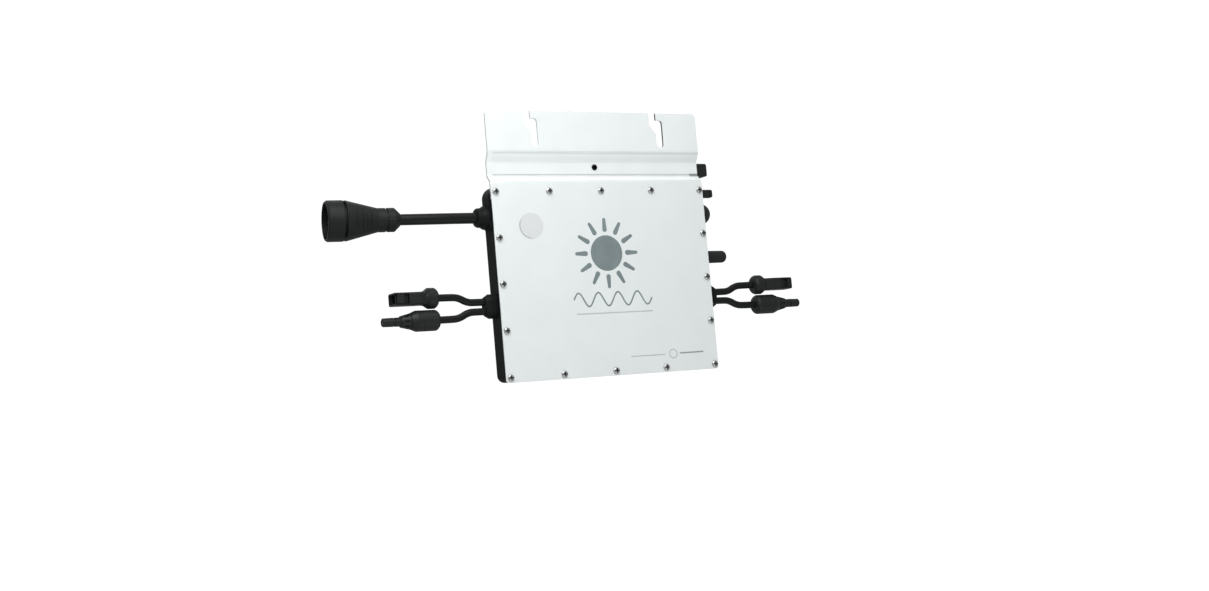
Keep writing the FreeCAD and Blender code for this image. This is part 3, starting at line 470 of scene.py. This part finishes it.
def printed(name, outlines, material):
    """Flat ink shapes on the cover's front. Each outline is a list of (x, z) points."""
    mesh = bpy.data.meshes.new(name)
    shape = bmesh.new()
    for outline in outlines:
        points = [(COVER_MIDDLE.x + x, z + COVER_MIDDLE.z) for x, z in outline]
        front = [shape.verts.new((x, COVER_FRONT - PRINT_PROUD, z)) for x, z in points]
        back = [shape.verts.new((x, COVER_FRONT + PRINT_ROOT, z)) for x, z in points]
        shape.faces.new(front)
        shape.faces.new(back[::-1])
        for here in range(len(points)):
            after = (here + 1) % len(points)
            shape.faces.new((front[here], back[here], back[after], front[after]))
    bmesh.ops.recalc_face_normals(shape, faces=shape.faces)
    shape.to_mesh(mesh)
    shape.free()
    piece = bpy.data.objects.new(name, mesh)
    bpy.context.scene.collection.objects.link(piece)
    mesh.materials.append(material)
    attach(piece, "root")
    return piece


def disc(centre, radius, count=72):
    """The outline of a round disc."""
    turns = [math.tau * number / count for number in range(count)]
    return [(centre[0] + radius * math.cos(turn), centre[1] + radius * math.sin(turn)) for turn in turns]


def hoop(centre, outer, inner, count=48):
    """The outlines of the two halves of a thin ring."""
    rim, hole = disc(centre, outer, count), disc(centre, inner, count)
    half = count // 2
    return [rim[:half + 1] + hole[half::-1], rim[half:] + rim[:1] + hole[:1] + hole[:half - 1:-1]]


def ray(centre, angle, inner, outer, wide, narrow, count=10):
    """The outline of a ray with round ends, wide at its inner end and narrow at its outer one."""
    outline = []
    for distance, radius, start in ((inner, wide / 2, math.pi / 2), (outer, narrow / 2, -math.pi / 2)):
        for number in range(count + 1):
            turn = start + math.pi * number / count
            outline.append((distance + radius * math.cos(turn), radius * math.sin(turn)))
    cosine, sine = math.cos(angle), math.sin(angle)
    return [(centre[0] + x * cosine - z * sine, centre[1] + x * sine + z * cosine) for x, z in outline]


def ribbon(start, end, height, waves, width, count=160):
    """The outline of a thin line that swings up and down as a sine between two ends."""
    length = end[0] - start[0]
    upper, lower = [], []
    for number in range(count + 1):
        share = number / count
        turn = math.tau * waves * share
        x = start[0] + length * share
        z = start[1] + (end[1] - start[1]) * share + height / 2 * math.sin(turn)
        slope = math.tau * waves / length * height / 2 * math.cos(turn)
        across = Vector((-slope, 1)).normalized() * width / 2
        upper.append((x + across.x, z + across.y))
        lower.append((x - across.x, z - across.y))
    return upper + lower[::-1]


def bar(left, right, low, high):
    """The outline of a plain bar."""
    return [(left, low), (right, low), (right, high), (left, high)]


def ink_finish(name, colour, mottle, mottle_mm):
    """A satin ink."""
    return finish(name, colour, (0.45, 0.55), specular=0.3, grain_mm=0.3, grain_depth_mm=0.001,
                  mottle=mottle, mottle_mm=mottle_mm, edge_mm=0.02)


def add_print():
    """A plain sun over an alternating-current wave and a rule, and a ring between two rules in the corner."""
    ink = ink_finish("cover_ink", (0.17, 0.21, 0.215), 0.10, 12)
    pale_ink = ink_finish("pale_ink", (0.42, 0.47, 0.47), 0.08, 8)
    corner_ink = ink_finish("corner_ink", (0.24, 0.28, 0.285), 0.10, 4)
    angles = [math.tau * number / RAY_COUNT for number in range(RAY_COUNT)]
    rays = [ray(SUN_AT, angle, *RAY_REACH, *RAY_WIDTH) for angle in angles]
    printed("print_sun", [disc(SUN_AT, SUN_RADIUS)] + rays, ink)
    printed("print_wave", [ribbon(*WAVE_ENDS, WAVE_HEIGHT, WAVE_COUNT, WAVE_LINE)], ink)
    printed("print_rule", [bar(*RULE)], pale_ink)
    printed("print_corner", [bar(*CORNER_BAR)] + hoop(CORNER_RING_AT, *CORNER_RING_RADII), pale_ink)
    printed("print_corner_rule", [bar(*CORNER_RULE)], corner_ink)


add_print()


# ---------------------------------------------------------------- stage and light

FLOOR_HEIGHT = -0.45
STAGE_RADIUS = 4.0
STAGE_BEND = 1.2
STAGE_TOP = 2.6
STAGE_BEND_STEPS = 12
STAGE_TURN_STEPS = 96
STAGE_GLOW = 1.05

WORLD_COLOUR = (0.97, 0.99, 1.0, 1)
WORLD_STRENGTH = 0.55
LIGHTS = [  # name, place, size, watts
    ("key_light", (-0.36, -0.44, 0.36), 0.5, 5.0),
    ("top_fill", (0.2, -0.8, 1.2), 0.9, 3.0),
    ("low_fill", (0.1, -0.9, -1.2), 0.9, 3.2),
    ("back_fill", (0.4, 1.8, 1.0), 1.6, 10),
]


def add_stage():
    """A pale floor that curves up into a round wall. Only the camera sees it, so it doesn't tint the object."""
    profile = [(0.0, FLOOR_HEIGHT)]
    for number in range(STAGE_BEND_STEPS + 1):
        turn = math.pi / 2 * number / STAGE_BEND_STEPS
        profile.append((STAGE_RADIUS - STAGE_BEND + STAGE_BEND * math.sin(turn),
                        FLOOR_HEIGHT + STAGE_BEND - STAGE_BEND * math.cos(turn)))
    profile.append((STAGE_RADIUS, STAGE_TOP))
    shape = bmesh.new()
    corners = [shape.verts.new((distance, 0, height)) for distance, height in profile]
    edges = [shape.edges.new(pair) for pair in zip(corners, corners[1:])]
    bmesh.ops.spin(shape, geom=corners + edges, cent=(0, 0, 0), axis=(0, 0, 1), angle=math.tau,
                   steps=STAGE_TURN_STEPS, use_merge=True)
    bmesh.ops.remove_doubles(shape, verts=shape.verts, dist=1e-5)
    mesh = bpy.data.meshes.new("stage_floor")
    shape.to_mesh(mesh)
    shape.free()
    material = bpy.data.materials.new("stage_white")
    material.use_nodes = True
    tree = material.node_tree
    tree.nodes.clear()
    glow = add(tree, "Emission", {"Color": (1, 1, 1, 1), "Strength": STAGE_GLOW})
    add(tree, "OutputMaterial", {"Surface": glow.outputs[0]})
    mesh.materials.append(material)
    floor = bpy.data.objects.new("stage_floor", mesh)
    bpy.context.scene.collection.objects.link(floor)
    floor.visible_diffuse = False
    floor.visible_glossy = False
    floor.visible_transmission = False
    floor.visible_shadow = False


def add_soft_light(name, place, size, watts):
    """A large square soft light that looks at the middle of the cover."""
    data = bpy.data.lights.new(name, "AREA")
    data.shape = "SQUARE"
    data.size = size
    data.energy = watts
    light = bpy.data.objects.new(name, data)
    bpy.context.scene.collection.objects.link(light)
    toward = COVER_MIDDLE - Vector(place)
    light.matrix_world = Matrix.Translation(place) @ toward.to_track_quat("-Z", "Y").to_matrix().to_4x4()


def add_light():
    """Even white surroundings, a key light high on the left in front, and weak fills."""
    world = bpy.data.worlds.new("surroundings")
    bpy.context.scene.world = world
    world.use_nodes = True
    background = world.node_tree.nodes["Background"]
    background.inputs["Color"].default_value = WORLD_COLOUR
    background.inputs["Strength"].default_value = WORLD_STRENGTH
    for light in LIGHTS:
        add_soft_light(*light)


add_stage()
add_light()
bpy.context.scene.view_settings.view_transform = "Standard"
